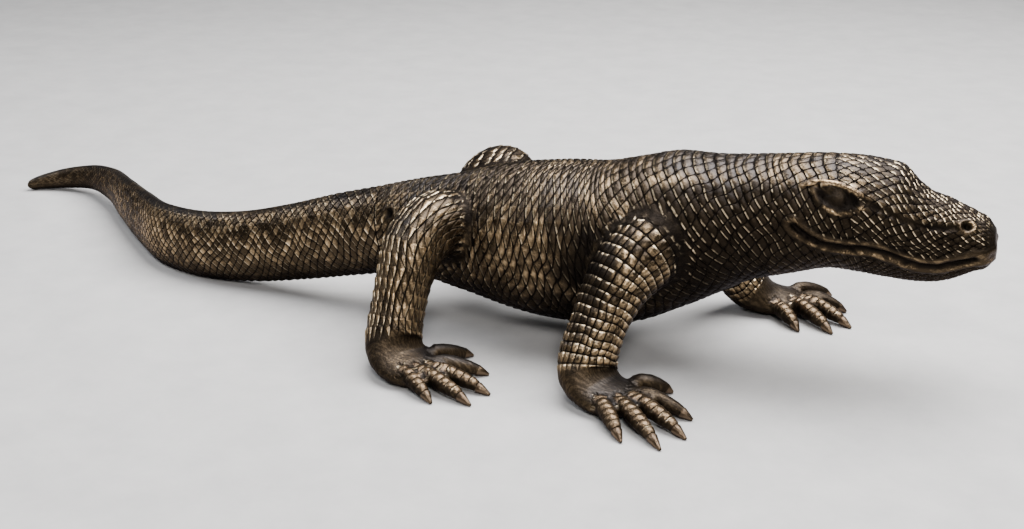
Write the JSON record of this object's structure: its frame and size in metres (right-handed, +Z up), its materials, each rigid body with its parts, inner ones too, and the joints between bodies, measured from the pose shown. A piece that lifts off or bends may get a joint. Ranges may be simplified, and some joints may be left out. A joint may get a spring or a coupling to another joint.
{
  "type": "komodo dragon figurine",
  "caption": "Cast bronze figurine of a monitor lizard walking on spread clawed feet, head held level and tail trailing in a loose curl, its skin carved with scales.",
  "frame": {"origin": "on the ground plane under the middle of the figure's bounding box, which lies on the body's centre plane", "axes": "+X from the tail to the snout, +Y to the animal's left, +Z up"},
  "size_m": [0.4501, 0.1601, 0.0794],
  "materials": {
    "patinated_bronze": "dark brown patina on cast bronze, worn to warm metal on the raised scales, toes and claws"
  },
  "bodies": {
    "root": {"komodo_dragon": "patinated_bronze"}
  },
  "joints": []
}
